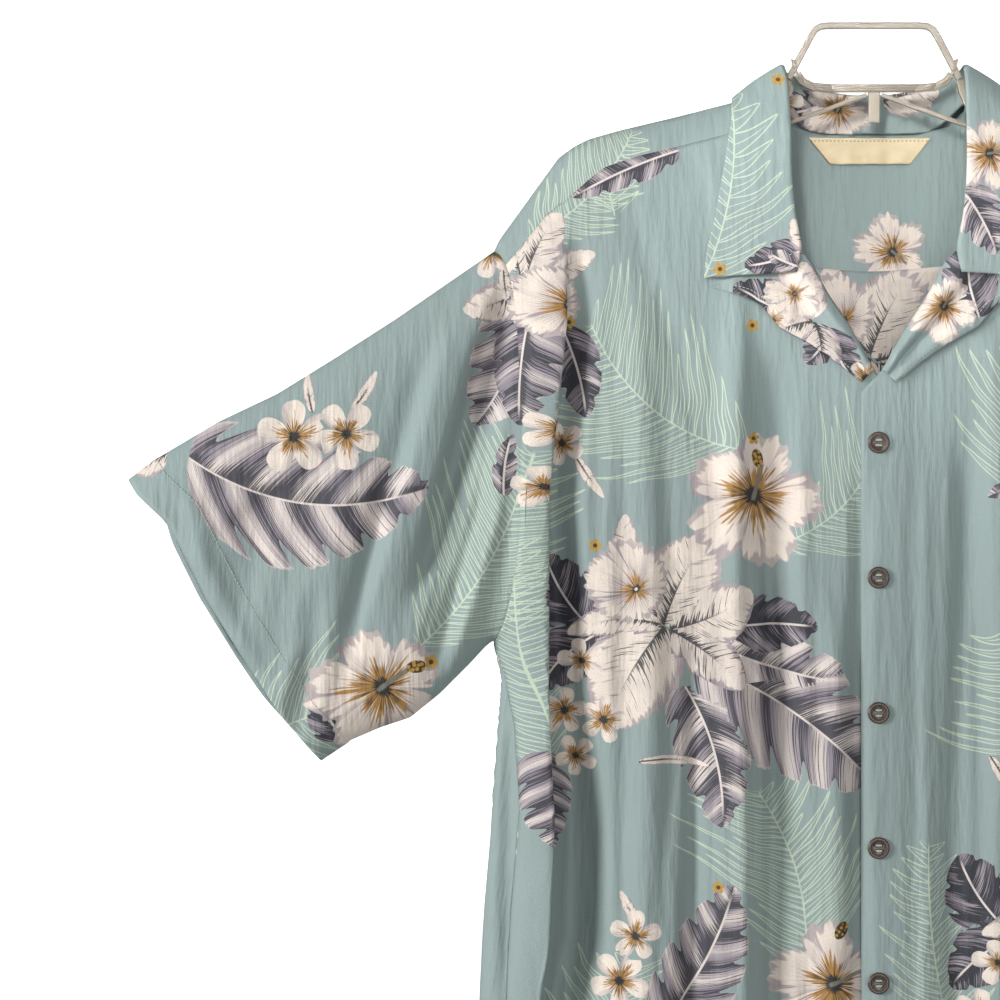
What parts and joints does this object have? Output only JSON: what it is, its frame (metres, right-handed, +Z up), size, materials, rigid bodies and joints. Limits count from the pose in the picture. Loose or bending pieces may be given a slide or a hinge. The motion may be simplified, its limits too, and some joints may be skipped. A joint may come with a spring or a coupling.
{
  "type": "hawaiian shirt on a clothes hanger",
  "caption": "Short-sleeved printed aloha shirt with a camp collar and turned-back lapels, buttoned, hanging flat on a clear moulded clothes hanger.",
  "frame": {"origin": "hang point: the middle of the inside top of the hanger's loop, where a rod or hook carries it", "axes": "+X to the viewer's right across the shirt's width, +Y from the front to the back, +Z up"},
  "size_m": [1.054, 0.06, 0.8735],
  "materials": {
    "cloth": "smooth rayon, soft sheen, printed",
    "label": "woven satin, blank",
    "button": "dark coconut shell, satin",
    "hanger": "clear polystyrene, glossy"
  },
  "bodies": {
    "root": {"front_right": "cloth", "front_left": "cloth", "back": "cloth", "yoke": "cloth", "sleeve_right": "cloth", "sleeve_left": "cloth", "lapel_right": "cloth", "lapel_left": "cloth", "collar": "cloth", "neck_label": "label", "button_1": "button", "button_2": "button", "button_3": "button", "button_4": "button", "button_5": "button", "button_6": "button", "hanger_loop": "hanger", "hanger_crossbar": "hanger", "hanger_arm_right": "hanger", "hanger_arm_left": "hanger", "hanger_brace_right": "hanger", "hanger_brace_left": "hanger", "hanger_post": "hanger"}
  },
  "joints": []
}
